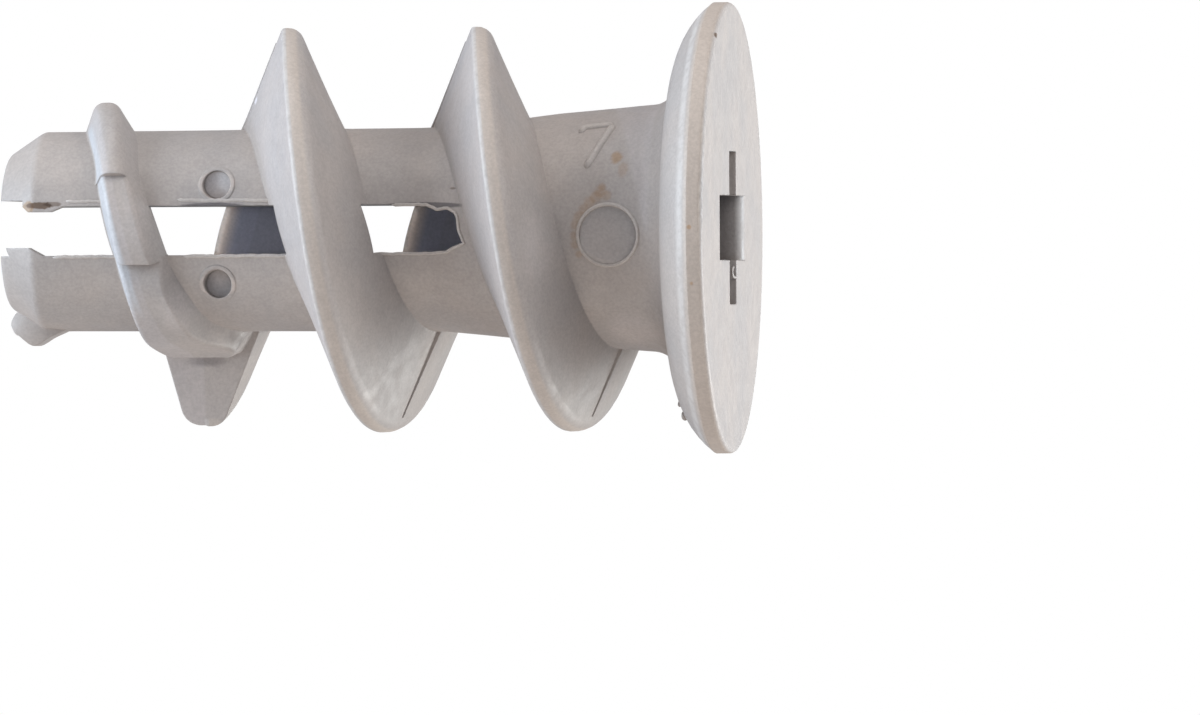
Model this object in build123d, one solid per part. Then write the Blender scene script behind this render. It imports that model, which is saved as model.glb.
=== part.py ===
from build123d import *
import math
import os

os.makedirs("parts", exist_ok=True)

# Self-drilling drywall anchor moulded in one piece
# The origin is the centre of the outer face of the head.
# +Z runs along the axis to the drilling tip.
# +X runs across the driver slot and -Y is the marked side.

# Overall
length = 22.15
core_radius = 3.03
root_sink = 0.08
inner_radius = core_radius - root_sink

# Head flange
flange_radius = 6.84
rim_height = 0.50
rim_round = 0.14
shoulder_radius = flange_radius - 0.53
shoulder_height = 1.03
root_radius = core_radius + 0.77
root_height = 1.72
root_round = 0.80
back_radius = root_radius + 0.97
back_height = 1.58

# Neck between head and core
neck_top_radius = core_radius + 0.68
neck_top_height = 2.80
neck_mid_radius = core_radius + 0.47
neck_mid_height = 5.20
neck_low_radius = core_radius + 0.27
neck_low_height = 6.80
taper_end_radius = core_radius + 0.07
taper_end_height = 8.80

# Drilling tip
tip_bevel_length = 1.09
tip_start_height = length - tip_bevel_length
tip_start_round = 0.35
tip_radius = core_radius - 0.73
tip_round = 0.36

# Full flight of the thread
pitch = 5.815
thread_depth = 3.12
crest_radius = core_radius + thread_depth
tip_half_width = 0.22
head_half_width = 0.30
tip_crest_round = 0.14
head_crest_round = 0.52
crest_to_tip = 8.59
crest_top_height = length - crest_to_tip
tip_flank_run = 1.22
head_flank_run = 1.33
flight_start_angle = 165.0
flight_end_height = 4.272
flight_end_angle = 360.0 * (flight_end_height - crest_top_height) / pitch

# Fading end of the flight at the rear of the neck
# Each row gives angle past the end and drop below the crest.
fade_rows = ((20.0, 0.25), (40.0, 0.95), (60.0, 1.75), (80.0, 2.65))

# Lands on the mould parting plane, just past the top and bottom of each turn
# Each row gives the gap to the crest and the depths of the top and bottom lands there.
land_rows = ((3.20, 0.50, 2.10), (0.45, 0.50, 0.90))
land_step_share = 0.35

# Swollen tip side where the full flight starts
# Each row gives angle, drop below the crest, half width at the crest and width at the core.
swell_rows = (
    (165.0, 0.03, 0.82, 1.55),
    (148.0, 0.08, 0.74, 1.50),
    (130.0, 0.17, 0.44, 1.36),
    (112.0, 0.35, 0.20, 1.22),
    (100.0, 0.55, 0.10, 1.10),
)
swell_round = 0.60

# Low cutting steps ahead of the full flight
# Each row gives angle, rise above the core, and widths to the tip and to the head at the core.
lead_rows = (
    (297.0, 0.83, 0.76, 0.64),
    (325.0, 0.87, 0.60, 0.86),
    (360.0, 0.88, 0.45, 1.00),
    (376.0, 0.71, 0.26, 0.96),
    (388.0, 0.37, 0.10, 0.90),
)
lead_round = 0.38
rib_rows = (
    (253.5, 0.61, 0.84, 0.74),
    (264.0, 0.67, 0.84, 0.74),
    (280.0, 0.67, 0.79, 0.71),
    (299.0, 0.63, 0.71, 0.64),
)
rib_round = 0.20
lobe_rows = (
    (162.0, 0.79, 1.43, 1.60),
    (180.0, 0.69, 1.40, 1.56),
    (195.0, 0.61, 1.30, 1.30),
    (215.0, 0.71, 1.12, 1.02),
    (234.0, 0.68, 0.98, 0.92),
    (243.0, 0.56, 0.92, 0.84),
    (250.0, 0.36, 0.87, 0.79),
    (256.0, 0.28, 0.82, 0.76),
)
lobe_round = 0.18
step_tip_slope = 0.36
step_head_slope = 0.60

# Driver slot between the prongs
slot_width = 1.49
slot_end = 7.75
channel_wall = 0.38
channel_width = 2 * (core_radius - channel_wall)
bridge_depth = core_radius + 0.41

# Uneven slot mouth at the prong ends
lower_lip_offset = 0.50
lower_lip_height = length - 1.00
lower_lip_slope = 0.45
upper_notch_offset = 0.93
upper_notch_height = length - 0.79

# Cross recess in the head
recess_width = 1.97
recess_depth = 3.20
wing_length = 4.64
wing_width = 1.50
wing_depth = 2.60
mouth_round = 0.30

# Ragged end of the slot in the thin front wall
# Each point gives the height above the slot's end and the offset from the axis.
wall_points = (
    (-0.75, -1.200),
    (1.00, -1.200),
    (1.00, -0.745),
    (0.60, -0.700),
    (0.45, -0.620),
    (0.02, -0.440),
    (0.18, -0.050),
    (0.22, 0.340),
    (0.31, 0.520),
    (0.53, 0.640),
    (0.87, 0.600),
    (1.20, 0.745),
    (1.20, 1.200),
    (-0.75, 1.200),
)
flash_height = length - 2.10
flash_offset = 0.58
flash_slope = 0.20
lip_depth = 2.40

# Flat ejector marks on the marked side
pin_radius = 0.43
pin_height = length - 6.75
pin_offsets = (1.38, -1.61)
pin_depths = (0.65, 0.96)
disc_radius = 0.88
disc_offset = -0.21
disc_height = 3.32
disc_depth = 0.18
ring_width = 0.12
ring_rise = 0.05

# Burr on the lower prong end
# Each point gives the distance below the tip and the reach beyond the core.
burr_points = (
    (1.85, -0.08),
    (1.50, 0.08),
    (1.20, 0.22),
    (0.78, 0.44),
    (0.38, 0.19),
    (0.07, -0.20),
    (0.25, -0.58),
    (1.20, -0.63),
)
burr_centre = (0.95, -0.25)
burr_sizes = (0.95, 0.75, 1.25)
knob_offset = 0.13 - core_radius
knob_height = length - 0.31
knob_radius = 0.28


def station(angle):
    """Place of the flight section plane at an angle about the axis."""
    height = crest_top_height + pitch * angle / 360.0
    return Location((0, 0, height)) * Location((0, 0, 0), (0, 0, angle))


def flight_section(radius, tip_half, head_half, tip_inner, head_inner, tip_round, head_round):
    """Radial section of a flight with rounded crest corners."""
    outline = Polyline(
        (inner_radius, 0, -head_inner),
        (radius, 0, -head_half),
        (radius, 0, tip_half),
        (inner_radius, 0, tip_inner),
        close=True,
    )
    face = Face(Wire(outline.edges()))
    tip_corner = face.vertices().sort_by_distance((radius, 0, tip_half))[0]
    face = face.fillet_2d(tip_round, [tip_corner])
    head_corner = face.vertices().sort_by_distance((radius, 0, -head_half))[0]
    return face.fillet_2d(head_round, [head_corner])


def full_section(radius):
    """Section of the full flight when its crest is lowered to a radius."""
    share = (radius - inner_radius) / thread_depth
    lost = (crest_radius - radius) / thread_depth
    tip_half = tip_half_width + 0.4 * lost * tip_flank_run
    head_half = head_half_width + 0.4 * lost * head_flank_run
    tip_inner = tip_half + share * tip_flank_run
    head_inner = head_half + share * head_flank_run
    head_round = min(head_crest_round, 0.45 * (radius - inner_radius))
    return flight_section(
        radius, tip_half, head_half, tip_inner, head_inner, tip_crest_round, head_round
    )


def step_section(rise, tip_width, head_width, rounding):
    """Section of a low cutting step given by its widths at the core."""
    radius = core_radius + rise
    tip_half = tip_width - step_tip_slope * rise
    head_half = head_width - step_head_slope * rise
    tip_inner = tip_width + step_tip_slope * root_sink
    head_inner = head_width + step_head_slope * root_sink
    return flight_section(
        radius, tip_half, head_half, tip_inner, head_inner, rounding, rounding
    )


def step_loft(rows, rounding):
    """Low step lofted through its rows of angle, rise and widths."""
    sections = [station(row[0]) * step_section(row[1], row[2], row[3], rounding) for row in rows]
    return loft(sections)


def swell_section(drop, tip_half, tip_width):
    """Section of the swollen tip side from the middle of the flight."""
    radius = crest_radius - drop
    rise = thread_depth - drop
    tip_inner = tip_width + (tip_width - tip_half) * root_sink / rise
    outline = Polyline(
        (inner_radius, 0, 0),
        (radius, 0, 0),
        (radius, 0, tip_half),
        (inner_radius, 0, tip_inner),
        close=True,
    )
    face = Face(Wire(outline.edges()))
    crest = face.vertices().sort_by_distance((radius, 0, tip_half))[0]
    return face.fillet_2d(min(swell_round, 0.9 * tip_half), [crest])


def parting_land(angle):
    """Filling between the parting plane and a flank that turns away behind it."""
    bottom = angle % 360.0 == 180.0
    run = head_flank_run if bottom else tip_flank_run
    half = head_half_width if bottom else tip_half_width
    side = -1 if bottom else 1
    middle = crest_top_height + pitch * angle / 360.0
    faces = []
    for share in (0, 1):
        near = []
        far = []
        for gap, top_depth, bottom_depth in land_rows:
            offset = crest_radius - gap
            depth = bottom_depth if bottom else top_depth
            flank = half + run * gap / thread_depth
            reach = math.hypot(offset, depth)
            climb = pitch * math.degrees(math.atan2(depth, offset)) / 360.0
            width = climb - run * (reach - offset) / thread_depth
            step = width * max(share, land_step_share)
            near.append((side * offset, share * depth, middle + side * (flank - root_sink)))
            far.append((side * offset, share * depth, middle + side * (flank + step)))
        outline = Polyline(*near, *reversed(far), close=True)
        faces.append(Face(Wire(outline.edges())))
    return loft(faces)


def across(radius, offset, height, near, far):
    """Cylinder along Y between two depths on the marked side."""
    middle = Location((offset, -(near + far) / 2, height), (90, 0, 0))
    return middle * Cylinder(radius, abs(far - near))


# Body of revolution
back_start = (flange_radius, 0, rim_height)
back_middle = (shoulder_radius, 0, shoulder_height)
back_stop = (back_radius, 0, back_height)
rim_lines = Polyline((0, 0, length), (0, 0, 0), (flange_radius, 0, 0), back_start)
back_arc = ThreePointArc(back_start, back_middle, back_stop)
core_lines = Polyline(
    back_stop,
    (root_radius, 0, root_height),
    (neck_top_radius, 0, neck_top_height),
    (neck_mid_radius, 0, neck_mid_height),
    (neck_low_radius, 0, neck_low_height),
    (taper_end_radius, 0, taper_end_height),
    (core_radius, 0, tip_start_height),
    (tip_radius, 0, length),
    (0, 0, length),
)
profile = Face(Wire(rim_lines.edges() + back_arc.edges() + core_lines.edges()))


def corner(radius, height):
    """Profile vertex nearest to a radius and height."""
    return profile.vertices().sort_by_distance((radius, 0, height))[0]


profile = profile.fillet_2d(rim_round, [corner(flange_radius, 0)])
profile = profile.fillet_2d(root_round, [corner(root_radius, root_height)])
profile = profile.fillet_2d(tip_start_round, [corner(core_radius, tip_start_height)])
profile = profile.fillet_2d(tip_round, [corner(tip_radius, length)])
body = revolve(profile, Axis.Z)

# Burr on the lower prong end
burr_outline = [(-core_radius - reach, 0, length - drop) for drop, reach in burr_points]
burr_face = Face(Wire([Spline(*burr_outline, periodic=True)]))
burr_slab = extrude(burr_face, burr_sizes[1], dir=(0, 1, 0), both=True)
burr_place = Location((-core_radius - burr_centre[1], 0, length - burr_centre[0]))
burr = burr_slab & (burr_place * scale(Sphere(1), burr_sizes))
knob = Location((knob_offset, 0, knob_height)) * Sphere(knob_radius)
body = body + burr + knob

# Full flight fading out at the rear of the neck
flight_turn = (flight_start_angle - flight_end_angle) / 360.0
flight_path = Helix(pitch=pitch, height=pitch * flight_turn, radius=core_radius)
flight_foot = station(flight_end_angle)
whole_section = full_section(crest_radius)
flight = sweep(flight_foot * whole_section, path=flight_foot * flight_path, is_frenet=True)
fade_sections = [flight_foot * whole_section]
for step, drop in fade_rows:
    fade_sections.append(station(flight_end_angle - step) * full_section(crest_radius - drop))
fade = loft(fade_sections)
swell = loft([station(row[0]) * swell_section(*row[1:]) for row in swell_rows])
body = body + flight + fade + swell
for angle in range(0, int(flight_end_angle), -180):
    body = body + parting_land(angle)

# Driver slot under the flights with the notched upper mouth
half_slot = slot_width / 2
slot_top = length + 1
slot_outline = Polyline(
    (-half_slot, 0, slot_end),
    (half_slot, 0, slot_end),
    (half_slot, 0, upper_notch_height),
    (upper_notch_offset, 0, upper_notch_height),
    (upper_notch_offset, 0, slot_top),
    (-half_slot, 0, slot_top),
    close=True,
)
slot_face = Face(Wire(slot_outline.edges()))
slot = extrude(Pos(0, -bridge_depth, 0) * slot_face, 2 * bridge_depth, dir=(0, 1, 0))

# Material left in the slot by flash in the front wall and at the front of the mouth
half_channel = channel_width / 2
wall_outline = [(offset, 0, slot_end + rise) for rise, offset in wall_points]
wall_face = Face(Wire(Polyline(*wall_outline, close=True).edges()))
wall = extrude(Pos(0, -bridge_depth, 0) * wall_face, bridge_depth - half_channel, dir=(0, 1, 0))
lip_outline = Polyline(
    (-slot_width, 0, slot_top),
    (-lower_lip_offset, 0, slot_top),
    (-lower_lip_offset, 0, lower_lip_height),
    (-half_slot, 0, lower_lip_height - lower_lip_slope),
    (-slot_width, 0, lower_lip_height - lower_lip_slope),
    close=True,
)
lip_face = Face(Wire(lip_outline.edges()))
lip = extrude(Pos(0, -bridge_depth, 0) * lip_face, bridge_depth - lip_depth, dir=(0, 1, 0))
flash_outline = Polyline(
    (slot_width, 0, upper_notch_height),
    (half_slot, 0, upper_notch_height),
    (flash_offset, 0, upper_notch_height - flash_slope),
    (flash_offset, 0, flash_height + 2 * flash_slope),
    (half_slot, 0, flash_height),
    (slot_width, 0, flash_height),
    close=True,
)
flash_face = Face(Wire(flash_outline.edges()))
flash = extrude(Pos(0, -bridge_depth, 0) * flash_face, bridge_depth - half_channel, dir=(0, 1, 0))
channel = Pos(0, 0, slot_end / 2) * Box(slot_width, channel_width, slot_end + 2)
body = body - (slot - wall - lip - flash) - channel

# Cross recess in the head
recess_lines = Polyline(
    (0, half_channel, mouth_round),
    (0, half_channel, recess_depth),
    (0, -half_channel, recess_depth),
    (0, -half_channel, mouth_round),
)
mouth_width = half_channel + mouth_round
mouth_lines = Polyline((0, -mouth_width, 0), (0, -mouth_width, -1), (0, mouth_width, -1), (0, mouth_width, 0))
mouth_middle = mouth_round * (1 - math.sqrt(0.5))
mouth_edges = []
for side in (-1, 1):
    middle = (0, side * (half_channel + mouth_middle), mouth_middle)
    edge = ThreePointArc((0, side * mouth_width, 0), middle, (0, side * half_channel, mouth_round))
    mouth_edges += edge.edges()
recess_face = Face(Wire(recess_lines.edges() + mouth_lines.edges() + mouth_edges))
recess = extrude(recess_face, recess_width / 2, dir=(1, 0, 0), both=True)
wings = Pos(0, 0, (wing_depth - 1) / 2) * Box(wing_length, wing_width, wing_depth + 1)
body = body - recess - wings

# Low cutting steps
body = body + step_loft(lobe_rows, lobe_round)
body = body + step_loft(rib_rows, rib_round)
body = body + step_loft(lead_rows, lead_round)

# Flat ejector marks with raised witness rings
ring_shell = Pos(0, 0, pin_height) * Cylinder(core_radius + ring_rise, 4 * pin_radius)
for offset, depth in zip(pin_offsets, pin_depths):
    ring = across(pin_radius + ring_width, offset, pin_height, inner_radius / 2, bridge_depth)
    body = body + (ring & ring_shell)
    body = body - across(pin_radius, offset, pin_height, core_radius - depth, bridge_depth)
disc_face = neck_top_radius - disc_depth
body = body - across(disc_radius, disc_offset, disc_height, disc_face, flange_radius)

export_step(body, "parts/drywall_anchor.step")
print(body.bounding_box(), body.volume, body.is_valid, len(body.solids()))
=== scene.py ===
import logging
import math
import random
from dataclasses import dataclass
from enum import Enum

import bmesh
import bpy
from mathutils import Matrix, Vector


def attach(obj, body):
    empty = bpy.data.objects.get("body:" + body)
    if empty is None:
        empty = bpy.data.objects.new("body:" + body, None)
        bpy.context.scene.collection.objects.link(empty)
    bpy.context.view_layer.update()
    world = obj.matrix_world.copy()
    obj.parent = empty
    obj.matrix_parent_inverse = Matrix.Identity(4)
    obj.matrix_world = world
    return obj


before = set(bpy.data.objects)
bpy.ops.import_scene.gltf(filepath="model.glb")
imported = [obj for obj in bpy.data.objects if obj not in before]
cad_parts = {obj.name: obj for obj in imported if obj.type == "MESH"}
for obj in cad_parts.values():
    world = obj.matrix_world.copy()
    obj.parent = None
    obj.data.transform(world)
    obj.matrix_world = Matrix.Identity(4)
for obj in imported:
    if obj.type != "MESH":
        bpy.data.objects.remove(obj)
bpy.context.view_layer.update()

MM = 0.001
BODY = "root"
NODE = "drywall_anchor"
FULL_TURN = 2.0 * math.pi
MIX_SHARE, MIX_BELOW, MIX_ABOVE, MIX_RESULT = 0, 6, 7, 2
SECTION_STEPS = 2
END_TAPER = 0.4
MERGE_DISTANCE = 0.0005 * MM
Pair = tuple[float, float]
Triple = tuple[float, float, float]
Limits = tuple[float, float, float, float]
Socket = bpy.types.NodeSocket
log = logging.getLogger("drywall_anchor")


class Tint(Enum):
    """Colour that a patch multiplies the surface's own colour by: rust, soot and the dull tone are the
    surface's own, the others are painted light and shade.
    """

    RUST = (0.86, 0.66, 0.46)
    SOOT = (0.34, 0.26, 0.20)
    # painted shade: these two darken places where shade falls
    SHADE = (0.30, 0.30, 0.33)
    CREASE_SHADE = (0.64, 0.62, 0.62)
    DULL = (1.00, 1.03, 1.06)
    # painted light: these four lighten patches, the ejector marks and a highlight as if light fell there
    LIT = (1.24, 1.24, 1.25)
    RING = (1.24, 1.20, 1.17)
    GLINT = (1.60, 1.66, 1.78)
    MARK_FLOOR_LIGHT = (1.95, 2.05, 2.14)


class Outline(Enum):
    """How a patch ends: how ragged it is, and where it starts and stops fading."""

    SPLASH = (0.50, 0.55, 1.10)
    RUN = (0.45, 0.55, 1.10)
    PIT = (0.10, 0.55, 1.10)
    DISC = (0.00, 0.97, 1.01)
    RING = (0.00, 0.88, 1.00)
    FLOOR = (0.00, 0.90, 1.00)
    STRIP = (0.20, 0.70, 1.00)
    BURNT = (0.70, 0.85, 1.10)
    CRUST = (0.60, 0.85, 1.10)
    SPARK = (0.60, 0.60, 1.10)
    TOOTH = (0.30, 0.30, 1.05)
    SOFT = (0.20, 0.35, 1.10)


@dataclass(frozen=True)
class Pattern:
    """Fractal noise: features per millimetre, octaves, roughness and the range in use."""

    scale: float
    detail: float
    rough: float
    window: Pair = (0.3, 0.7)


RAGGED = Pattern(5.0, 3.0, 0.6)


def rgba(colour: object) -> object:
    """Give a colour full alpha.

    Args:
        colour: Colour of three numbers, or a socket.

    Returns:
        Colour of four numbers, or the same socket.
    """
    if isinstance(colour, tuple) and len(colour) == 3:
        return (*colour, 1.0)
    return colour


class Graph:
    """Node tree of one material, with short calls for the nodes it needs."""

    def __init__(self, name: str) -> None:
        """Start an empty material with its output node.

        Args:
            name: Name of the material.
        """
        self.material = bpy.data.materials.new(name)
        self.material.use_nodes = True
        self.tree = self.material.node_tree
        self.tree.nodes.clear()
        self.output = self.node("ShaderNodeOutputMaterial")

    def node(self, kind: str, **settings: object) -> bpy.types.Node:
        """Add a node and set its own properties.

        Args:
            kind: Blender's name of the node type.
            settings: Properties of the node and their values.

        Returns:
            The new node.
        """
        made = self.tree.nodes.new(kind)
        for name, value in settings.items():
            setattr(made, name, value)
        return made

    def wire(self, source: object, target: Socket) -> None:
        """Feed a socket with another socket or with a plain value.

        Args:
            source: Output socket, number or tuple.
            target: Input socket that takes it.
        """
        if isinstance(source, bpy.types.NodeSocket):
            self.tree.links.new(source, target)
        else:
            target.default_value = source

    def maths(self, operation: str, first: object, second: object = 0.0, clamp: bool = False) -> Socket:
        """Calculate with one or two numbers.

        Args:
            operation: Name of the Math node's operation.
            first: First number or socket.
            second: Second number or socket.
            clamp: Whether the result is kept between 0 and 1.

        Returns:
            Socket of the result.
        """
        made = self.node("ShaderNodeMath", operation=operation, use_clamp=clamp)
        self.wire(first, made.inputs[0])
        self.wire(second, made.inputs[1])
        return made.outputs[0]

    def product(self, first: Socket, *others: object) -> Socket:
        """Multiply masks.

        Args:
            first: First mask.
            others: Other masks or plain shares.

        Returns:
            Socket of the product, kept between 0 and 1.
        """
        for other in others:
            first = self.maths("MULTIPLY", first, other, clamp=True)
        return first

    def vector(self, operation: str, first: Socket, second: object = (0.0, 0.0, 0.0)) -> Socket:
        """Calculate with one or two vectors.

        Args:
            operation: Name of the Vector Math node's operation.
            first: Socket of the first vector.
            second: Second vector or socket.

        Returns:
            Socket of the result, a number for a length or a dot product.
        """
        made = self.node("ShaderNodeVectorMath", operation=operation)
        self.wire(first, made.inputs[0])
        self.wire(second, made.inputs[1])
        return made.outputs["Value" if operation in ("LENGTH", "DOT_PRODUCT") else "Vector"]

    def place_mm(self) -> Socket:
        """Return the object coordinates in millimetres."""
        source = self.node("ShaderNodeTexCoord")
        return self.vector("MULTIPLY", source.outputs["Object"], (1.0 / MM, 1.0 / MM, 1.0 / MM))

    def noise(self, place: Socket, pattern: Pattern) -> Socket:
        """Read a pattern.

        Args:
            place: Socket of the coordinates in millimetres.
            pattern: Pattern to read.

        Returns:
            Socket of the noise value.
        """
        made = self.node("ShaderNodeTexNoise")
        self.wire(place, made.inputs["Vector"])
        made.inputs["Scale"].default_value = pattern.scale
        made.inputs["Detail"].default_value = pattern.detail
        made.inputs["Roughness"].default_value = pattern.rough
        return made.outputs["Fac"]

    def tone(self, place: Socket, pattern: Pattern, first: float = 0.0, last: float = 1.0) -> Socket:
        """Return a pattern mapped onto a range of results."""
        return self.span(self.noise(place, pattern), pattern.window, first, last)

    def span(self, value: Socket, limits: Pair, first: float = 0.0, last: float = 1.0) -> Socket:
        """Map a range of values smoothly onto another one.

        Args:
            value: Socket to map.
            limits: Values that give the first and the last result.
            first: Result at the first limit.
            last: Result at the second limit.

        Returns:
            Socket of the mapped value.
        """
        made = self.node("ShaderNodeMapRange", interpolation_type="SMOOTHSTEP")
        self.wire(value, made.inputs["Value"])
        names = ("From Min", "From Max", "To Min", "To Max")
        for name, number in zip(names, (*limits, first, last)):
            made.inputs[name].default_value = number
        return made.outputs["Result"]

    def band(self, value: Socket, limits: Limits) -> Socket:
        """Mask a range of values with soft ends.

        Args:
            value: Socket to test.
            limits: Start and end of the rise, start and end of the fall.

        Returns:
            Mask that is 1 between the rise and the fall.
        """
        rise = self.span(value, limits[:2])
        fall = self.span(value, limits[2:], 1.0, 0.0)
        return self.product(rise, fall)

    def blend(self, share: object, base: object, over: object, mode: str = "MIX") -> Socket:
        """Lay one colour over another.

        Args:
            share: Share of the upper colour.
            base: Colour or socket below.
            over: Colour or socket above.
            mode: Blend mode of the Mix node.

        Returns:
            Socket of the mixed colour.
        """
        made = self.node("ShaderNodeMix", data_type="RGBA", blend_type=mode)
        self.wire(share, made.inputs[MIX_SHARE])
        self.wire(rgba(base), made.inputs[MIX_BELOW])
        self.wire(rgba(over), made.inputs[MIX_ABOVE])
        return made.outputs[MIX_RESULT]

    def grey(self, brightness: Socket) -> Socket:
        """Turn a number into a neutral colour.

        Args:
            brightness: Socket of the number.

        Returns:
            Socket of the colour.
        """
        made = self.node("ShaderNodeCombineColor")
        for socket in made.inputs[:3]:
            self.wire(brightness, socket)
        return made.outputs[0]

    def openness(self, reach: float, samples: int) -> Socket:
        """Measure how open the surface is.

        Args:
            reach: Distance in millimetres within which walls count.
            samples: Number of directions tried.

        Returns:
            Socket that is 1 where nothing stands near.
        """
        made = self.node("ShaderNodeAmbientOcclusion", samples=samples)
        made.inputs["Distance"].default_value = reach * MM
        return made.outputs["AO"]


@dataclass(frozen=True)
class StainOrPaintedLight:
    """Soft patch that multiplies the surface's colour, with sizes in millimetres: real stains, and painted
    light and shade.
    """

    centre: Triple
    reach: Triple
    tint: Tint
    strength: float
    outline: Outline = Outline.SPLASH

    def lay(self, graph: Graph, place: Socket, base: Socket) -> Socket:
        """Lay the patch over a colour.

        Args:
            graph: Node tree of the finish.
            place: Coordinates in millimetres.
            base: Colour under the patch.

        Returns:
            Socket of the changed colour.
        """
        broken, full, end = self.outline.value
        shift = graph.vector("SUBTRACT", place, self.centre)
        distance = graph.vector("LENGTH", graph.vector("DIVIDE", shift, self.reach))
        spread = graph.maths("MULTIPLY", graph.noise(place, RAGGED), broken)
        edge = graph.maths("ADD", distance, spread)
        mask = graph.span(edge, (full, end), self.strength, 0.0)
        return graph.blend(mask, base, self.tint.value, "MULTIPLY")


@dataclass(frozen=True)
class PartMasks:
    """Masks of the part's regions, with limits in millimetres.

    A range of four numbers is the start and end of a mask's rise, then those of its fall. The
    bands of crests, flanks and edges count along the axis from the middle of the nearest crest.
    """

    graph: Graph
    place: Socket
    first_crest: float = 13.56
    pitch: float = 5.815
    neck_start: Pair = (2.00, 2.20)
    crest_radius: Pair = (5.85, 6.00)
    crest_band: Limits = (-0.30, -0.16, 0.08, 0.13)
    corner_band: Limits = (0.08, 0.13, 0.20, 0.27)
    flank_radius: Pair = (3.20, 3.60)
    flank_band: Limits = (0.14, 0.24, 1.60, 1.80)
    rim_radius: Pair = (6.55, 6.75)
    rim_band: Limits = (0.02, 0.13, 0.50, 0.68)
    back_radius: Pair = (6.20, 6.40)
    back_line: Limits = (0.60, 0.70, 0.76, 0.90)
    bridge_depth: Limits = (3.34, 3.40, 3.46, 3.56)
    bridge_half: Pair = (0.76, 0.80)
    bridge_start: Pair = (6.50, 7.00)
    bridge_edge: Limits = (0.66, 1.24, 1.50, 1.60)
    step_start: Pair = (16.3, 16.6)
    step_radius: Limits = (3.08, 3.18, 3.90, 4.05)
    step_edge: Limits = (0.36, 0.50, 0.74, 0.86)
    step_across: Limits = (-2.90, -1.90, 3.00, 3.60)
    step_side: Pair = (-1.60, -0.40)
    bore_radius: Pair = (2.92, 3.00)
    bore_depth: Pair = (0.10, 0.80)
    bore_end: Pair = (5.00, 5.50)

    def axis(self, name: str) -> Socket:
        """Read one coordinate.

        Args:
            name: Letter of the axis.

        Returns:
            Socket of the coordinate.
        """
        split = self.graph.node("ShaderNodeSeparateXYZ")
        self.graph.wire(self.place, split.inputs[0])
        return split.outputs[name]

    def reach(self) -> Socket:
        """Return the distance from the part's axis."""
        flat = self.graph.vector("MULTIPLY", self.place, (1.0, 1.0, 0.0))
        return self.graph.vector("LENGTH", flat)

    def past_crest(self) -> Socket:
        """Measure along the axis from the middle of the nearest crest.

        Returns:
            Socket of the distance, positive towards the tip.
        """
        maths = self.graph.maths
        angle = maths("ARCTAN2", self.axis("Y"), self.axis("X"))
        turns = maths("DIVIDE", maths("SUBTRACT", self.axis("Z"), self.first_crest), self.pitch)
        phase = maths("SUBTRACT", turns, maths("DIVIDE", angle, FULL_TURN))
        nearest = maths("SUBTRACT", phase, maths("ROUND", phase))
        return maths("MULTIPLY", nearest, self.pitch)

    def on_flights(self, radii: Pair, limits: Limits) -> Socket:
        """Mask a strip that follows the flights.

        Args:
            radii: Radius where the mask starts and where it is full.
            limits: Rise and fall of the strip.

        Returns:
            Mask of the strip, without the head.
        """
        return self.graph.product(
            self.graph.span(self.reach(), radii),
            self.graph.span(self.axis("Z"), self.neck_start),
            self.graph.band(self.past_crest(), limits),
        )

    def crests(self) -> Socket:
        """Return a mask of the flights' crests."""
        return self.on_flights(self.crest_radius, self.crest_band)

    def flanks(self) -> Socket:
        """Return a mask of the flights' tip-side faces."""
        return self.on_flights(self.flank_radius, self.flank_band)

    def corners(self) -> Socket:
        """Mask the sharp corners of the crests and of the head's back, where a painted highlight goes.

        Returns:
            Mask of both corners.
        """
        flight = self.on_flights(self.crest_radius, self.corner_band)
        outer = self.graph.span(self.reach(), self.back_radius)
        head = self.graph.product(outer, self.graph.band(self.axis("Z"), self.back_line))
        return self.graph.maths("MAXIMUM", flight, head)

    def step_edges(self) -> Socket:
        """Mask the tip-side edges of the low steps.

        Returns:
            Mask of the edges on the marked side.
        """
        return self.graph.product(
            self.graph.band(self.reach(), self.step_radius),
            self.graph.band(self.past_crest(), self.step_edge),
            self.graph.span(self.axis("Z"), self.step_start),
            self.graph.band(self.axis("X"), self.step_across),
            self.graph.span(self.axis("Y"), self.step_side, 1.0, 0.0),
        )

    def rim(self) -> Socket:
        """Return a mask of the head's rim."""
        outer = self.graph.span(self.reach(), self.rim_radius)
        return self.graph.product(outer, self.graph.band(self.axis("Z"), self.rim_band))

    def bridges(self) -> Socket:
        """Mask the flights' inner faces at the rear of the slot.

        Returns:
            Mask of the faces.
        """
        return self.graph.product(
            self.graph.band(self.axis("Y"), self.bridge_depth),
            self.graph.span(self.graph.maths("ABSOLUTE", self.axis("X")), self.bridge_half, 1.0, 0.0),
            self.graph.span(self.axis("Z"), self.bridge_start),
        )

    def bridge_edges(self) -> Socket:
        """Return a mask of the lit tip-side edges of those inner faces, where painted light goes."""
        return self.graph.product(self.bridges(), self.graph.band(self.past_crest(), self.bridge_edge))

    def recess(self) -> Socket:
        """Mask the inside of the head's recess.

        Returns:
            Mask that grows with depth and ends past the recess.
        """
        return self.graph.product(
            self.graph.span(self.reach(), self.bore_radius, 1.0, 0.0),
            self.graph.span(self.axis("Z"), self.bore_depth),
            self.graph.span(self.axis("Z"), self.bore_end, 1.0, 0.0),
        )


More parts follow.
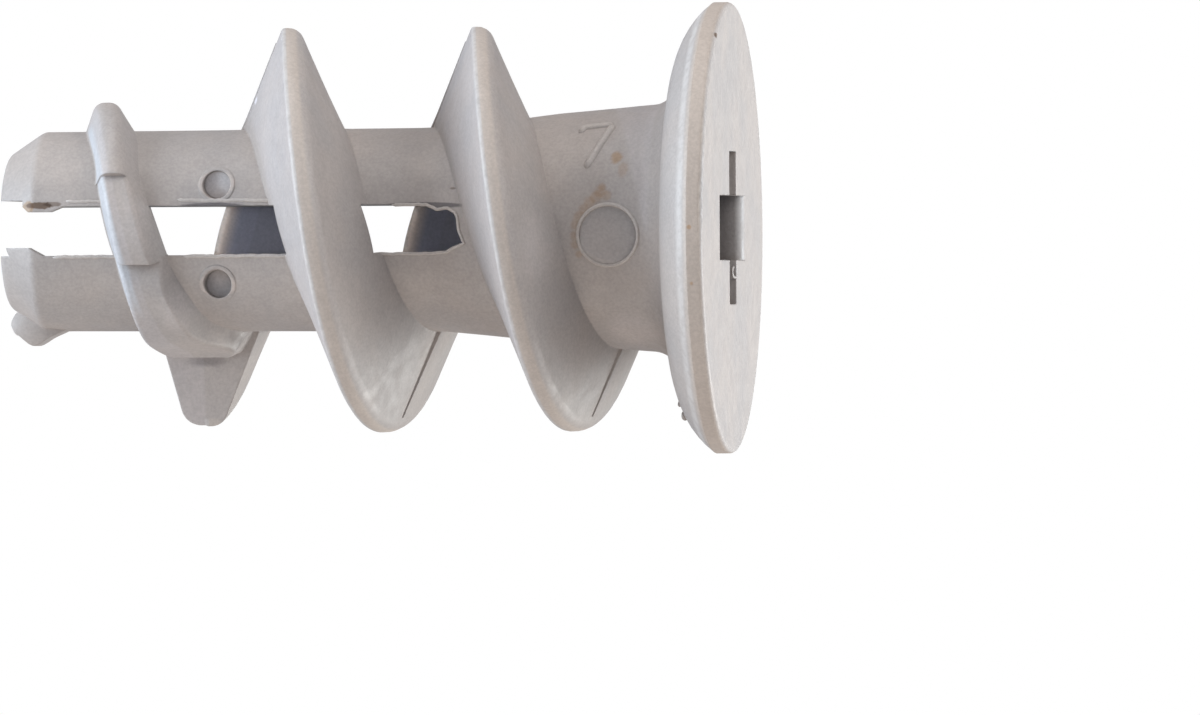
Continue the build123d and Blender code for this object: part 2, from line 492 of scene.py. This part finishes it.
@dataclass(frozen=True)
class NylonFinish:
    """Grey moulded nylon with mottling and grain, sharp edges lighter partly from wear and partly as
    painted highlight, painted shade in hollows, and painted light and shade on some regions.
    """

    name: str = "moulded_nylon"
    warm: Triple = (0.400, 0.360, 0.336)
    cool: Triple = (0.370, 0.342, 0.328)
    # lighter colour of sharp edges: partly wear, partly painted highlight
    edge_wear_and_highlight: Triple = (0.64, 0.62, 0.60)
    rim_tan: Triple = (0.440, 0.378, 0.330)
    # crest tan: partly the crests' worn tone, partly painted light that makes them lighter
    crest_tan: Triple = (0.470, 0.415, 0.372)
    # painted light: tip-side flanks lighter and bluer
    painted_flank_light: Triple = (1.08, 1.09, 1.12)
    # painted shade: bluish shade on the slot's rear inner faces
    painted_bridge_shade: Triple = (1.05, 1.10, 1.34)
    # painted light on the lit edges of those faces
    painted_bridge_edge_light: Triple = (0.95, 0.76, 0.62)
    # painted light on the low steps' tip-side edges
    painted_step_light: Triple = (0.455, 0.460, 0.480)
    shade: Triple = (0.50, 0.48, 0.48)
    # painted shade: colour that darkens the hollows
    hollow_shade: Triple = (0.70, 0.65, 0.62)
    blotches: Pattern = Pattern(0.32, 3.0, 0.55, (0.35, 0.65))
    mottle: Pattern = Pattern(2.6, 5.0, 0.7)
    mottle_depth: float = 0.035
    grain: Pattern = Pattern(11.0, 3.0, 0.6)
    grain_depth: float = 0.07
    edge_breakup_pattern: Pattern = Pattern(3.5, 4.0, 0.6, (0.30, 0.62))
    least_edge_breakup: float = 0.35
    wear_and_highlight: float = 0.45
    # painted shade in hollows: how far walls count, its range, strength and samples
    hollow_shade_reach: float = 0.4
    hollow_shade_range: Pair = (0.25, 0.90)
    hollow_shade_strength: float = 0.55
    hollow_shade_samples: int = 8
    edge_radius: float = 0.07
    bridge_edge_radius: float = 0.32
    edge_match: Pair = (0.80, 0.985)
    edge_samples: int = 6
    open_reach: float = 0.25
    open_range: Pair = (0.60, 0.95)
    gloss: Pattern = Pattern(1.7, 4.0, 0.6)
    roughness: Pair = (0.42, 0.60)
    specular: float = 0.42
    ior: float = 1.53
    relief_layers: tuple[tuple[Pattern, float], ...] = (
        (Pattern(0.9, 2.0, 0.55), 0.012),
        (Pattern(5.0, 3.0, 0.55), 0.004),
        (Pattern(14.0, 3.0, 0.55), 0.003),
    )
    stains_and_painted_light: tuple[StainOrPaintedLight, ...] = ()

    def regions(self, graph: Graph, parts: PartMasks, base: Socket) -> Socket:
        """Tint the part's regions, mostly with painted light and shade.

        Args:
            graph: Node tree of the finish.
            parts: Masks of the regions.
            base: Colour of the plain nylon.

        Returns:
            Socket of the tinted colour.
        """
        # crest tan is partly painted light, rim tan is the rim's own tone, the bridge and recess tints are
        # painted shade, and the bridge edge, flank and step edge tints are painted light
        tints = (
            (parts.crests(), self.crest_tan, "MIX"),
            (parts.rim(), self.rim_tan, "MIX"),
            (parts.bridges(), self.painted_bridge_shade, "MULTIPLY"),
            (parts.bridge_edges(), self.painted_bridge_edge_light, "MIX"),
            (parts.flanks(), self.painted_flank_light, "MULTIPLY"),
            (parts.step_edges(), self.painted_step_light, "MIX"),
            (parts.recess(), self.shade, "MULTIPLY"),
        )
        for mask, tint, mode in tints:
            base = graph.blend(mask, base, tint, mode)
        return base

    def speckle(self, graph: Graph, place: Socket, base: Socket) -> Socket:
        """Make a colour uneven with mottling and grain.

        Args:
            graph: Node tree of the finish.
            place: Coordinates in millimetres.
            base: Colour to change.

        Returns:
            Socket of the uneven colour.
        """
        for pattern, depth in ((self.mottle, self.mottle_depth), (self.grain, self.grain_depth)):
            tone = graph.tone(place, pattern, 1.0 - depth, 1.0 + depth)
            base = graph.blend(1.0, base, graph.grey(tone), "MULTIPLY")
        return base

    def shade_hollows(self, graph: Graph, base: Socket) -> Socket:
        """Darken the hollows by how closed in they are, as painted shade, where the finish has any.

        Args:
            graph: Node tree of the finish.
            base: Colour before the darkening.

        Returns:
            Socket of the darkened colour.
        """
        if self.hollow_shade_strength <= 0.0:
            return base
        hollow = graph.openness(self.hollow_shade_reach, self.hollow_shade_samples)
        hollow_darkening = graph.span(hollow, self.hollow_shade_range, self.hollow_shade_strength, 0.0)
        return graph.blend(hollow_darkening, base, self.hollow_shade, "MULTIPLY")

    def colour(self, graph: Graph, place: Socket, edge: Socket) -> Socket:
        """Build the surface colour.

        Args:
            graph: Node tree of the finish.
            place: Coordinates in millimetres.
            edge: Mask that is 1 on sharp outer edges.

        Returns:
            Socket of the finished colour.
        """
        parts = PartMasks(graph, place)
        base = graph.blend(graph.tone(place, self.blotches), self.warm, self.cool)
        base = self.regions(graph, parts, base)
        base = self.speckle(graph, place, base)
        base = self.shade_hollows(graph, base)
        # sharp edges get lighter partly as wear and partly as painted highlight; the crest corners and the
        # head's back edge get a painted highlight
        edge_breakup = graph.tone(place, self.edge_breakup_pattern, self.least_edge_breakup, 1.0)
        for sharp in (edge, parts.corners()):
            base = graph.blend(graph.product(sharp, edge_breakup, self.wear_and_highlight), base, self.edge_wear_and_highlight)
        # lays the stains and the patches of painted light and shade
        for stain_or_light in self.stains_and_painted_light:
            base = stain_or_light.lay(graph, place, base)
        return base

    def rounding(self, graph: Graph, place: Socket) -> Socket:
        """Round the normals near edges, more widely on the bridges.

        Args:
            graph: Node tree of the finish.
            place: Coordinates in millimetres.

        Returns:
            Socket of the rounded normal.
        """
        rounded = graph.node("ShaderNodeBevel", samples=self.edge_samples)
        bridges = PartMasks(graph, place).bridges()
        radius = graph.span(bridges, (0.0, 1.0), self.edge_radius * MM, self.bridge_edge_radius * MM)
        graph.wire(radius, rounded.inputs["Radius"])
        return rounded.outputs["Normal"]

    def edges(self, graph: Graph, rounded: Socket) -> Socket:
        """Mask the sharp outer edges.

        Args:
            graph: Node tree of the finish.
            rounded: Rounded normal.

        Returns:
            Mask that is 1 where the rounded normal leaves the true one in the open.
        """
        surface = graph.node("ShaderNodeNewGeometry")
        match = graph.vector("DOT_PRODUCT", rounded, surface.outputs["Normal"])
        sharp = graph.span(match, self.edge_match, 1.0, 0.0)
        outer = graph.span(graph.openness(self.open_reach, self.edge_samples), self.open_range)
        return graph.product(sharp, outer)

    def relief(self, graph: Graph, place: Socket, normal: Socket) -> Socket:
        """Add the moulded unevenness to a surface normal.

        Args:
            graph: Node tree of the finish.
            place: Coordinates in millimetres.
            normal: Normal with rounded edges.

        Returns:
            Socket of the uneven normal.
        """
        for pattern, depth in self.relief_layers:
            bump = graph.node("ShaderNodeBump")
            bump.inputs["Strength"].default_value = 1.0
            bump.inputs["Distance"].default_value = depth * MM
            graph.wire(graph.noise(place, pattern), bump.inputs["Height"])
            graph.wire(normal, bump.inputs["Normal"])
            normal = bump.outputs["Normal"]
        return normal

    def build(self) -> bpy.types.Material:
        """Make the material.

        Returns:
            The finished material.
        """
        graph = Graph(self.name)
        place = graph.place_mm()
        rounded = self.rounding(graph, place)
        edge = self.edges(graph, rounded)
        shader = graph.node("ShaderNodeBsdfPrincipled")
        graph.wire(self.colour(graph, place, edge), shader.inputs["Base Color"])
        graph.wire(graph.tone(place, self.gloss, *self.roughness), shader.inputs["Roughness"])
        shader.inputs["IOR"].default_value = self.ior
        shader.inputs["Specular IOR Level"].default_value = self.specular
        graph.wire(self.relief(graph, place, rounded), shader.inputs["Normal"])
        graph.wire(shader.outputs[0], graph.output.inputs["Surface"])
        return graph.material


@dataclass(frozen=True)
class FloorFinish:
    """Pale matt table that is seen from above only and fades out with distance."""

    name: str = "pale_table"
    colour: Triple = (0.52, 0.52, 0.52)
    darkening: float = 0.98
    clouds: Pattern = Pattern(0.05, 3.0, 0.5)
    fade: Pair = (60.0, 420.0)

    def build(self) -> bpy.types.Material:
        """Make the material.

        Returns:
            The finished material.
        """
        graph = Graph(self.name)
        place = graph.place_mm()
        darker = tuple(self.darkening * part for part in self.colour)
        cloudy = graph.blend(graph.tone(place, self.clouds), self.colour, darker)
        shader = graph.node("ShaderNodeBsdfDiffuse")
        graph.wire(cloudy, shader.inputs["Color"])
        clear = graph.node("ShaderNodeBsdfTransparent")
        seen = graph.node("ShaderNodeLightPath").outputs["Is Camera Ray"]
        under = graph.node("ShaderNodeNewGeometry").outputs["Backfacing"]
        above = graph.maths("SUBTRACT", seen, under, clamp=True)
        near = graph.span(graph.vector("LENGTH", place), self.fade, 1.0, 0.0)
        mixed = graph.node("ShaderNodeMixShader")
        graph.wire(graph.product(above, near), mixed.inputs[0])
        graph.wire(clear.outputs[0], mixed.inputs[1])
        graph.wire(shader.outputs[0], mixed.inputs[2])
        graph.wire(mixed.outputs[0], graph.output.inputs["Surface"])
        return graph.material


def add_object(name: str, data: bpy.types.ID) -> bpy.types.Object:
    """Put a mesh, curve, light or camera into the scene.

    Args:
        name: Name of the object.
        data: What the object holds.

    Returns:
        The new object, at the origin.
    """
    made = bpy.data.objects.new(name, data)
    bpy.context.scene.collection.objects.link(made)
    return made


def smooth_piece(name: str, mesh: bpy.types.Mesh, shape: bmesh.types.BMesh) -> bpy.types.Object:
    """Write a finished shape to its mesh and show it smooth.

    Args:
        name: Name of the piece.
        mesh: Mesh that takes the shape.
        shape: Finished shape, which is freed.

    Returns:
        The finished mesh object.
    """
    shape.to_mesh(mesh)
    shape.free()
    mesh.shade_smooth()
    return add_object(name, mesh)


def sweep_line(
    name: str, path: list[Vector], half_width: float, closed: bool = False
) -> bpy.types.Object:
    """Sweep a small round section along a line.

    Args:
        name: Name of the piece.
        path: Points along the line, in metres.
        half_width: Radius of the section in millimetres.
        closed: Whether the line returns to its start.

    Returns:
        The finished mesh object.
    """
    curve = bpy.data.curves.new(name + "_line", "CURVE")
    curve.dimensions = "3D"
    curve.bevel_depth = half_width * MM
    curve.bevel_resolution = SECTION_STEPS
    curve.use_fill_caps = True
    spline = curve.splines.new("POLY")
    spline.points.add(len(path) - 1)
    spline.use_cyclic_u = closed
    for index, place in enumerate(path):
        inside = closed or 0 < index < len(path) - 1
        spline.points[index].co = (*place, 1.0)
        spline.points[index].radius = 1.0 if inside else END_TAPER
    carrier = add_object(name + "_line", curve)
    bpy.context.view_layer.update()
    depsgraph = bpy.context.evaluated_depsgraph_get()
    mesh = bpy.data.meshes.new_from_object(carrier.evaluated_get(depsgraph))
    bpy.data.objects.remove(carrier)
    bpy.data.curves.remove(curve)
    mesh.name = name
    shell = bmesh.new()
    shell.from_mesh(mesh)
    bmesh.ops.remove_doubles(shell, verts=shell.verts, dist=MERGE_DISTANCE)
    bmesh.ops.recalc_face_normals(shell, faces=shell.faces)
    return smooth_piece(name, mesh, shell)


@dataclass
class AnchorSurface:
    """Outer surface of the moulded core and neck, in millimetres."""

    heights: tuple[float, ...] = (1.72, 2.80, 5.20, 6.80, 8.80, 21.06, 22.15)
    radii: tuple[float, ...] = (3.80, 3.71, 3.50, 3.30, 3.10, 3.03, 2.30)

    def radius(self, height: float) -> float:
        """Read the radius of the core or neck.

        Args:
            height: Distance from the head's outer face.

        Returns:
            Radius at that height.
        """
        for index in range(1, len(self.heights)):
            if height <= self.heights[index]:
                low, high = self.heights[index - 1], self.heights[index]
                share = max(0.0, (height - low) / (high - low))
                return self.radii[index - 1] + share * (self.radii[index] - self.radii[index - 1])
        return self.radii[-1]

    def point(self, offset: float, height: float, lift: float) -> Vector:
        """Find a point on the marked side.

        Args:
            offset: Distance across the slot.
            height: Distance from the head's outer face.
            lift: Distance above the surface.

        Returns:
            The point in metres.
        """
        radius = self.radius(height) + lift
        depth = math.sqrt(max(0.0, radius * radius - offset * offset))
        return Vector((offset, -depth, height)) * MM


@dataclass
class SurfaceRidge:
    """Thin raised line of plastic that follows the surface."""

    name: str
    points: tuple[Pair, ...]
    half_width: float
    lift: float
    closed: bool = False
    ripple: float = 0.0
    step: float = 0.12

    def stations(self, surface: AnchorSurface) -> list[Vector]:
        """Place the middle line of the ridge.

        Args:
            surface: Surface that carries the ridge.

        Returns:
            Points along the ridge, in metres.
        """
        draw = random.Random(self.name)
        corners = list(self.points) + ([self.points[0]] if self.closed else [])
        flat = [corners[0]]
        for (x0, z0), (x1, z1) in zip(corners, corners[1:]):
            count = max(1, round(math.hypot(x1 - x0, z1 - z0) / self.step))
            for index in range(1, count + 1):
                share = index / count
                flat.append((x0 + share * (x1 - x0), z0 + share * (z1 - z0)))
        if self.closed:
            flat.pop()
        placed = []
        for offset, height in flat:
            shake = self.ripple * draw.uniform(-1.0, 1.0)
            placed.append(surface.point(offset + shake, height, self.lift))
        return placed

    def build(self, surface: AnchorSurface) -> bpy.types.Object:
        """Return the ridge, modelled on the surface that carries it."""
        return sweep_line(self.name, self.stations(surface), self.half_width, self.closed)


@dataclass(frozen=True)
class FlashCurl:
    """Loop of thin flash in the lower wing of the recess, with sizes in millimetres."""

    name: str = "recess_curl"
    centre: Triple = (-1.32, 0.55, 0.03)
    radii: Pair = (0.22, 0.70)
    half_width: float = 0.04
    start: float = 0.4
    sweep: float = 1.75 * math.pi
    narrowing: float = 0.30
    steps: int = 25

    def build(self) -> bpy.types.Object:
        """Model the loop.

        Returns:
            The finished mesh object.
        """
        path = []
        for index in range(self.steps + 1):
            share = index / self.steps
            angle = self.start + self.sweep * share
            spread = 1.0 - self.narrowing * share
            offset = self.centre[0] + self.radii[0] * spread * math.cos(angle)
            depth = self.centre[1] + self.radii[1] * spread * math.sin(angle)
            path.append(Vector((offset, depth, self.centre[2])) * MM)
        return sweep_line(self.name, path, self.half_width)


@dataclass(frozen=True)
class Burr:
    """Small uneven lump of flash, with places and sizes in millimetres."""

    name: str
    centre: Triple
    sizes: Triple
    unevenness: float = 0.18
    knots: int = 7
    knot_power: int = 4

    def build(self) -> bpy.types.Object:
        """Model the lump.

        Returns:
            The finished mesh object.
        """
        draw = random.Random(self.name)
        knots = []
        for _ in range(self.knots):
            knot = Vector([draw.uniform(-1.0, 1.0) for _ in range(3)])
            knots.append(knot.normalized())
        lump = bmesh.new()
        bmesh.ops.create_icosphere(lump, subdivisions=3, radius=1.0)
        for vert in lump.verts:
            outward = vert.co.normalized()
            swell = sum(max(0.0, outward.dot(knot)) ** self.knot_power for knot in knots)
            vert.co *= 1.0 + self.unevenness * (swell - 1.0)
        bmesh.ops.scale(lump, verts=lump.verts, vec=self.sizes)
        bmesh.ops.translate(lump, verts=lump.verts, vec=self.centre)
        bmesh.ops.scale(lump, verts=lump.verts, vec=(MM, MM, MM))
        return smooth_piece(self.name, bpy.data.meshes.new(self.name), lump)


def circle(centre: Pair, radius: float, count: int) -> tuple[Pair, ...]:
    """List the points of a circle seen from the marked side.

    Args:
        centre: Offset and height of the middle.
        radius: Radius in millimetres.
        count: Number of points.

    Returns:
        Pairs of offset and height.
    """
    points = []
    for index in range(count):
        turn = FULL_TURN * index / count
        points.append((centre[0] + radius * math.cos(turn), centre[1] + radius * math.sin(turn)))
    return tuple(points)


@dataclass
class SurfaceDetails:
    """Raised numeral, witness ring, flash and burrs, with sizes in millimetres."""

    # lighter copy of the nylon for the raised details, as painted light
    raised_finish: bpy.types.Material
    body_finish: bpy.types.Material
    surface: AnchorSurface
    disc: Pair = (-0.21, 3.32)
    disc_radius: float = 0.93
    disc_points: int = 56
    slot_mouth: tuple[Pair, ...] = (
        (-0.745, 11.30), (-0.735, 8.75), (-0.70, 8.35), (-0.62, 8.20), (-0.44, 7.77), (-0.05, 7.93),
        (0.34, 7.97), (0.52, 8.06), (0.64, 8.28), (0.60, 8.62), (0.745, 8.95), (0.745, 10.0),
    )
    curl: FlashCurl = FlashCurl()
    burrs: tuple[Burr, ...] = (
        Burr("head_burr_large", (-5.70, 0.0, 1.49), (0.14, 0.16, 0.11)),
        Burr("head_burr_small", (-5.30, 0.0, 1.60), (0.12, 0.13, 0.10)),
    )

    def lines(self) -> list[SurfaceRidge]:
        """List the ridges of the marked side.

        Returns:
            Ridges with their sizes in millimetres.
        """
        ring = circle(self.disc, self.disc_radius, self.disc_points)
        upper_slot = ((0.90, 12.9), (0.90, 14.6), (0.91, 16.6))
        return [
            SurfaceRidge("numeral_bar", ((2.84, 4.38), (3.00, 4.24), (3.10, 3.34)), 0.135, -0.055),
            SurfaceRidge("numeral_stroke", ((3.10, 3.34), (1.78, 4.06)), 0.140, -0.060),
            SurfaceRidge("disc_ring", ring, 0.055, -0.010, closed=True),
            SurfaceRidge("slot_end_flash", self.slot_mouth, 0.050, -0.005, ripple=0.012),
            SurfaceRidge("upper_slot_flash", upper_slot, 0.065, -0.025, ripple=0.016),
            SurfaceRidge("lower_slot_flash", ((-0.78, 13.0), (-0.78, 16.4)), 0.060, -0.015, ripple=0.014),
            SurfaceRidge("upper_prong_flash", ((0.88, 17.6), (0.90, 20.0)), 0.055, -0.020, ripple=0.016),
            SurfaceRidge("lower_prong_flash", ((-0.78, 17.9), (-0.78, 20.4)), 0.055, -0.015, ripple=0.012),
        ]

    def fix(self, pieces: list[bpy.types.Object], finish: bpy.types.Material) -> None:
        """Dress details and fix them to the part.

        Args:
            pieces: Details to fix.
            finish: Their finish.
        """
        for piece in pieces:
            piece.data.materials.append(finish)
            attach(piece, BODY)
            log.info("built %s with %d faces", piece.name, len(piece.data.polygons))

    def build(self) -> None:
        """Make every detail, dress it and fix it to the part."""
        raised = [ridge.build(self.surface) for ridge in self.lines()]
        lumps = [self.curl.build(), *(burr.build() for burr in self.burrs)]
        self.fix(raised, self.raised_finish)
        self.fix(lumps, self.body_finish)


@dataclass
class MouldedAnchor:
    """The moulded part itself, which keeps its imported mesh."""

    finish: bpy.types.Material

    def dress(self) -> None:
        """Give the part its finish."""
        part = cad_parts[NODE]
        if not part.data.materials:
            part.data.materials.append(self.finish)
        part.material_slots[0].material = self.finish
        log.info("dressed %s", part.name)


@dataclass(frozen=True)
class Lamp:
    """Soft square light aimed at the part, with places and size in metres."""

    name: str
    place: Triple
    size: float
    power: float
    colour: Triple
    aim: Triple = (0.0, 0.0, 0.010)

    def build(self) -> None:
        """Hang the light."""
        data = bpy.data.lights.new(self.name, "AREA")
        data.shape = "SQUARE"
        data.size = self.size
        data.energy = self.power
        data.color = self.colour
        away = Vector(self.place) - Vector(self.aim)
        turn = away.to_track_quat("Z", "Y").to_matrix().to_4x4()
        lamp = add_object(self.name, data)
        lamp.matrix_world = Matrix.Translation(self.place) @ turn


@dataclass
class Studio:
    """Floor, lights, surroundings and camera, with the camera's sizes in millimetres."""

    tilt: float = 8.05
    roll: float = 0.3
    aim: Triple = (-3.909, -0.566, 4.005)
    view_width: float = 36.36
    lens: float = 800.0
    sensor: float = 36.0
    clip: Pair = (0.05, 10.0)
    floor_radius: float = 1.5
    floor_sides: int = 64
    floor_drop: float = 0.02
    backdrop: Triple = (1.0, 1.0, 1.0)
    surround: Triple = (0.93, 0.96, 1.04)
    ambient: float = 0.40
    lamps: tuple[Lamp, ...] = (
        Lamp("tip_light", (0.04, -0.08, 0.26), 0.22, 1.02, (0.83, 0.94, 1.05)),
        Lamp("face_light", (0.0, 0.0, -0.30), 0.07, 0.90, (0.82, 0.96, 1.06)),
        Lamp("head_light", (0.17, -0.09, -0.22), 0.18, 0.44, (0.99, 0.96, 0.93)),
        Lamp("rear_light", (-0.12, 0.14, -0.20), 0.16, 0.62, (0.99, 1.0, 0.97)),
        Lamp("upper_light", (0.26, -0.06, 0.04), 0.18, 0.29, (1.0, 0.93, 0.87)),
        Lamp("lower_light", (-0.24, -0.11, 0.03), 0.20, 0.27, (1.0, 0.86, 0.73)),
    )

    def floor(self) -> None:
        """Lay the floor just under the part."""
        mesh = bpy.data.meshes.new("floor")
        sheet = bmesh.new()
        bmesh.ops.create_circle(sheet, cap_ends=True, segments=self.floor_sides, radius=self.floor_radius)
        bmesh.ops.translate(sheet, verts=sheet.verts, vec=(0.0, 0.0, -self.floor_drop * MM))
        bmesh.ops.recalc_face_normals(sheet, faces=sheet.faces)
        sheet.faces.ensure_lookup_table()
        if sheet.faces[0].normal.z < 0.0:
            bmesh.ops.reverse_faces(sheet, faces=sheet.faces)
        sheet.to_mesh(mesh)
        sheet.free()
        mesh.materials.append(FloorFinish().build())
        plate = add_object("floor", mesh)

    def surroundings(self) -> None:
        """Set a white background with a softer light of its own."""
        world = bpy.data.worlds.new("white_room")
        world.use_nodes = True
        nodes, links = world.node_tree.nodes, world.node_tree.links
        nodes.clear()
        output = nodes.new("ShaderNodeOutputWorld")
        shown = nodes.new("ShaderNodeBackground")
        shown.inputs["Color"].default_value = rgba(self.backdrop)
        shown.inputs["Strength"].default_value = 1.0
        glow = nodes.new("ShaderNodeBackground")
        glow.inputs["Color"].default_value = rgba(self.surround)
        glow.inputs["Strength"].default_value = self.ambient
        path = nodes.new("ShaderNodeLightPath")
        mixed = nodes.new("ShaderNodeMixShader")
        links.new(path.outputs["Is Camera Ray"], mixed.inputs[0])
        links.new(glow.outputs[0], mixed.inputs[1])
        links.new(shown.outputs[0], mixed.inputs[2])
        links.new(mixed.outputs[0], output.inputs["Surface"])
        bpy.context.scene.world = world

    def camera(self) -> None:
        """Set the camera at the picture's angle."""
        tilt, roll = math.radians(self.tilt), math.radians(self.roll)
        right = Vector((0.0, math.sin(tilt), -math.cos(tilt)))
        upward = Vector((1.0, 0.0, 0.0))
        towards = Vector((0.0, -math.cos(tilt), -math.sin(tilt)))
        camera_right = math.cos(roll) * right - math.sin(roll) * upward
        camera_up = math.sin(roll) * right + math.cos(roll) * upward
        distance = self.view_width * self.lens / self.sensor
        place = (Vector(self.aim) + distance * towards) * MM
        turn = Matrix((camera_right, camera_up, towards)).transposed().to_4x4()
        data = bpy.data.cameras.new("picture_camera")
        data.lens = self.lens
        data.sensor_width = self.sensor
        data.clip_start, data.clip_end = self.clip
        camera = add_object("picture_camera", data)
        camera.matrix_world = Matrix.Translation(place) @ turn
        bpy.context.scene.camera = camera

    def build(self) -> None:
        """Set up everything round the part."""
        for name in ("Cube", "Light", "Camera"):
            if name in bpy.data.objects:
                bpy.data.objects.remove(bpy.data.objects[name])
        bpy.context.scene.view_settings.view_transform = "Standard"
        self.floor()
        self.surroundings()
        for lamp in self.lamps:
            lamp.build()
        self.camera()
        log.info("set the floor, %d lights and the camera", len(self.lamps))


ARC = (
    (1.24, 3.52, 0.20), (0.98, 3.36, 0.24), (1.10, 3.56, 0.30), (0.93, 3.68, 0.30), (0.76, 3.88, 0.28),
    (0.57, 4.05, 0.26), (0.34, 4.20, 0.26), (0.08, 4.30, 0.26), (-0.22, 4.34, 0.24), (-0.50, 4.32, 0.22),
    (-0.78, 4.22, 0.18),
)
NECK_STAINS_AND_LIGHT = (
    StainOrPaintedLight((-0.21, -3.53, 3.32), (0.87, 1.00, 0.87), Tint.DULL, 1.00, Outline.DISC),
    StainOrPaintedLight((2.14, -3.00, 3.12), (0.36, 0.40, 0.29), Tint.RUST, 0.95),
    StainOrPaintedLight((1.76, -3.22, 2.90), (0.44, 0.50, 0.26), Tint.RUST, 0.45),
    *(StainOrPaintedLight((x, -3.50, z), (wide, 0.60, wide), Tint.RUST, 0.46, Outline.RUN) for x, z, wide in ARC),
    # painted light: a lit patch low on the neck
    StainOrPaintedLight((-3.10, -2.00, 2.80), (1.10, 1.40, 1.00), Tint.LIT, 0.75, Outline.SOFT),
)
EJECTOR_MARK_LIGHT = (
    # painted light: the ejector marks' rings and floors made lighter against the shade in them
    StainOrPaintedLight((1.38, -2.70, 15.40), (0.61, 0.30, 0.61), Tint.RING, 1.00, Outline.RING),
    StainOrPaintedLight((-1.61, -2.57, 15.40), (0.61, 0.30, 0.61), Tint.RING, 1.00, Outline.RING),
    StainOrPaintedLight((1.38, -2.30, 15.40), (0.45, 0.24, 0.45), Tint.MARK_FLOOR_LIGHT, 1.00, Outline.FLOOR),
    StainOrPaintedLight((-1.61, -2.00, 15.40), (0.45, 0.24, 0.45), Tint.MARK_FLOOR_LIGHT, 0.75, Outline.FLOOR),
)
SLOT_STAINS_AND_SHADE = (
    # painted shade: dark strips along the slot's upper edge, where the prong's underside is in shade
    StainOrPaintedLight((0.74, -2.93, 15.50), (0.13, 0.60, 1.30), Tint.SHADE, 0.85, Outline.STRIP),
    StainOrPaintedLight((0.72, -3.10, 9.00), (0.13, 0.60, 1.60), Tint.SHADE, 0.85, Outline.STRIP),
    StainOrPaintedLight((0.78, -2.80, 20.82), (0.17, 0.70, 0.66), Tint.SOOT, 1.00, Outline.BURNT),
    StainOrPaintedLight((0.82, -2.80, 20.40), (0.12, 0.60, 0.46), Tint.SOOT, 0.70, Outline.BURNT),
    StainOrPaintedLight((0.74, -2.80, 21.15), (0.26, 0.60, 0.30), Tint.RUST, 0.90, Outline.CRUST),
    StainOrPaintedLight((1.23, -2.92, 8.13), (0.06, 0.30, 0.16), Tint.SOOT, 0.60),
)
FLIGHT_LIGHT_AND_SHADE = (
    # painted highlight on a flight's flank
    StainOrPaintedLight((3.95, -0.44, 14.53), (0.20, 0.60, 0.13), Tint.GLINT, 1.00, Outline.SPARK),
    # painted shadow under the lobe, then painted shade in its crease
    StainOrPaintedLight((-3.98, 1.05, 16.30), (0.24, 0.80, 1.00), Tint.SHADE, 0.50, Outline.TOOTH),
    StainOrPaintedLight((-3.35, -0.30, 15.20), (0.50, 0.90, 0.45), Tint.CREASE_SHADE, 0.90, Outline.SOFT),
    # painted light on three patches
    StainOrPaintedLight((-2.45, -2.60, 16.60), (1.05, 1.20, 0.85), Tint.LIT, 0.80, Outline.SOFT),
    StainOrPaintedLight((-0.70, -4.60, 5.60), (1.60, 1.60, 0.90), Tint.LIT, 0.80, Outline.SOFT),
    StainOrPaintedLight((0.30, -3.65, 17.80), (1.60, 1.00, 0.85), Tint.LIT, 0.45, Outline.SOFT),
)
HEAD_STAINS = (
    StainOrPaintedLight((0.0, -6.84, 0.40), (0.12, 0.30, 0.12), Tint.RUST, 0.80),
    StainOrPaintedLight((-1.70, -6.63, 0.36), (0.10, 0.30, 0.09), Tint.RUST, 0.70),
    StainOrPaintedLight((5.80, -3.44, 0.0), (0.11, 0.18, 0.11), Tint.SOOT, 1.00, Outline.PIT),
)


def main() -> None:
    """Dress the part, add its fine details and set up the studio."""
    logging.basicConfig(level=logging.INFO, format="%(name)s: %(message)s")
    Studio().build()
    stains_and_painted_light = (*NECK_STAINS_AND_LIGHT, *EJECTOR_MARK_LIGHT, *SLOT_STAINS_AND_SHADE, *FLIGHT_LIGHT_AND_SHADE, *HEAD_STAINS)
    nylon = NylonFinish(stains_and_painted_light=stains_and_painted_light).build()
    # lighter copy of the nylon for the raised details, as painted light, without painted shade in hollows
    raised = NylonFinish(
        name="raised_nylon_painted_light",
        warm=(0.47, 0.43, 0.40),
        cool=(0.45, 0.42, 0.40),
        hollow_shade_strength=0.0,
        wear_and_highlight=0.1,
        edge_radius=0.02,
    ).build()
    MouldedAnchor(nylon).dress()
    SurfaceDetails(raised, nylon, AnchorSurface()).build()


if __name__ == "__main__":
    main()
